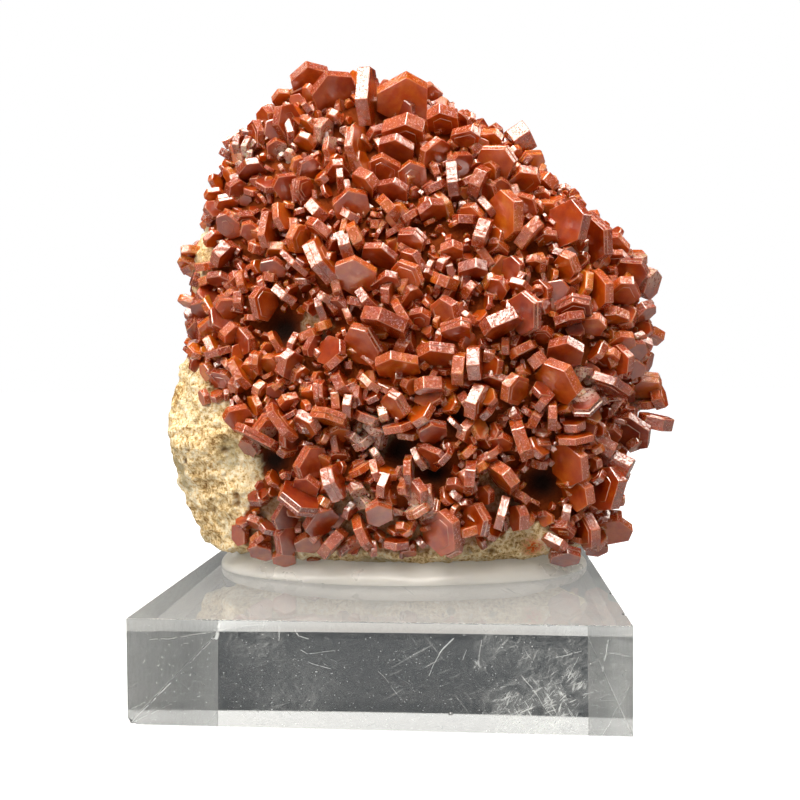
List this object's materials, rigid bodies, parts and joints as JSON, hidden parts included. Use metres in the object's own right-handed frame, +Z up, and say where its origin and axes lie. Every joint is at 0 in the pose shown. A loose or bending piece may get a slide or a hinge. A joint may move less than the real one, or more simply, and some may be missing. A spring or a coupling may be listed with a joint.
{
  "type": "vanadinite on matrix",
  "caption": "Druse of stubby six-sided vanadinite crystals on a tan rock matrix, bedded in clear putty on a square clear acrylic display block.",
  "frame": {"origin": "centre of the acrylic block's bottom face, which rests on the surface the specimen stands on", "axes": "+Z up, +X to the right of the display side, -Y out of the display side, square with the block's edges"},
  "size_m": [0.1096, 0.0888, 0.1306],
  "materials": {
    "matrix_stone": "granular, porous, cream to tan with brown pits",
    "vanadinite": "resinous, orange-red to brown-red, smooth end faces and pitted bright side faces",
    "putty": "milky, translucent, soft gloss",
    "acrylic": "polished, with fine scratches and dust"
  },
  "bodies": {
    "root": {"matrix": "matrix_stone", "mounting_putty": "putty", "acrylic_block": "acrylic", "vanadinite_crystals": "vanadinite", "vanadinite_cluster_01": "vanadinite", "vanadinite_cluster_02": "vanadinite", "vanadinite_cluster_03": "vanadinite", "vanadinite_cluster_04": "vanadinite", "vanadinite_cluster_05": "vanadinite", "vanadinite_cluster_06": "vanadinite", "vanadinite_cluster_07": "vanadinite", "vanadinite_cluster_08": "vanadinite", "vanadinite_cluster_09": "vanadinite", "vanadinite_cluster_10": "vanadinite", "vanadinite_cluster_11": "vanadinite", "vanadinite_cluster_12": "vanadinite", "vanadinite_cluster_13": "vanadinite", "vanadinite_cluster_14": "vanadinite", "vanadinite_cluster_15": "vanadinite", "vanadinite_cluster_16": "vanadinite", "vanadinite_cluster_17": "vanadinite", "vanadinite_cluster_18": "vanadinite", "vanadinite_cluster_19": "vanadinite", "vanadinite_cluster_20": "vanadinite", "vanadinite_cluster_21": "vanadinite"}
  },
  "joints": []
}
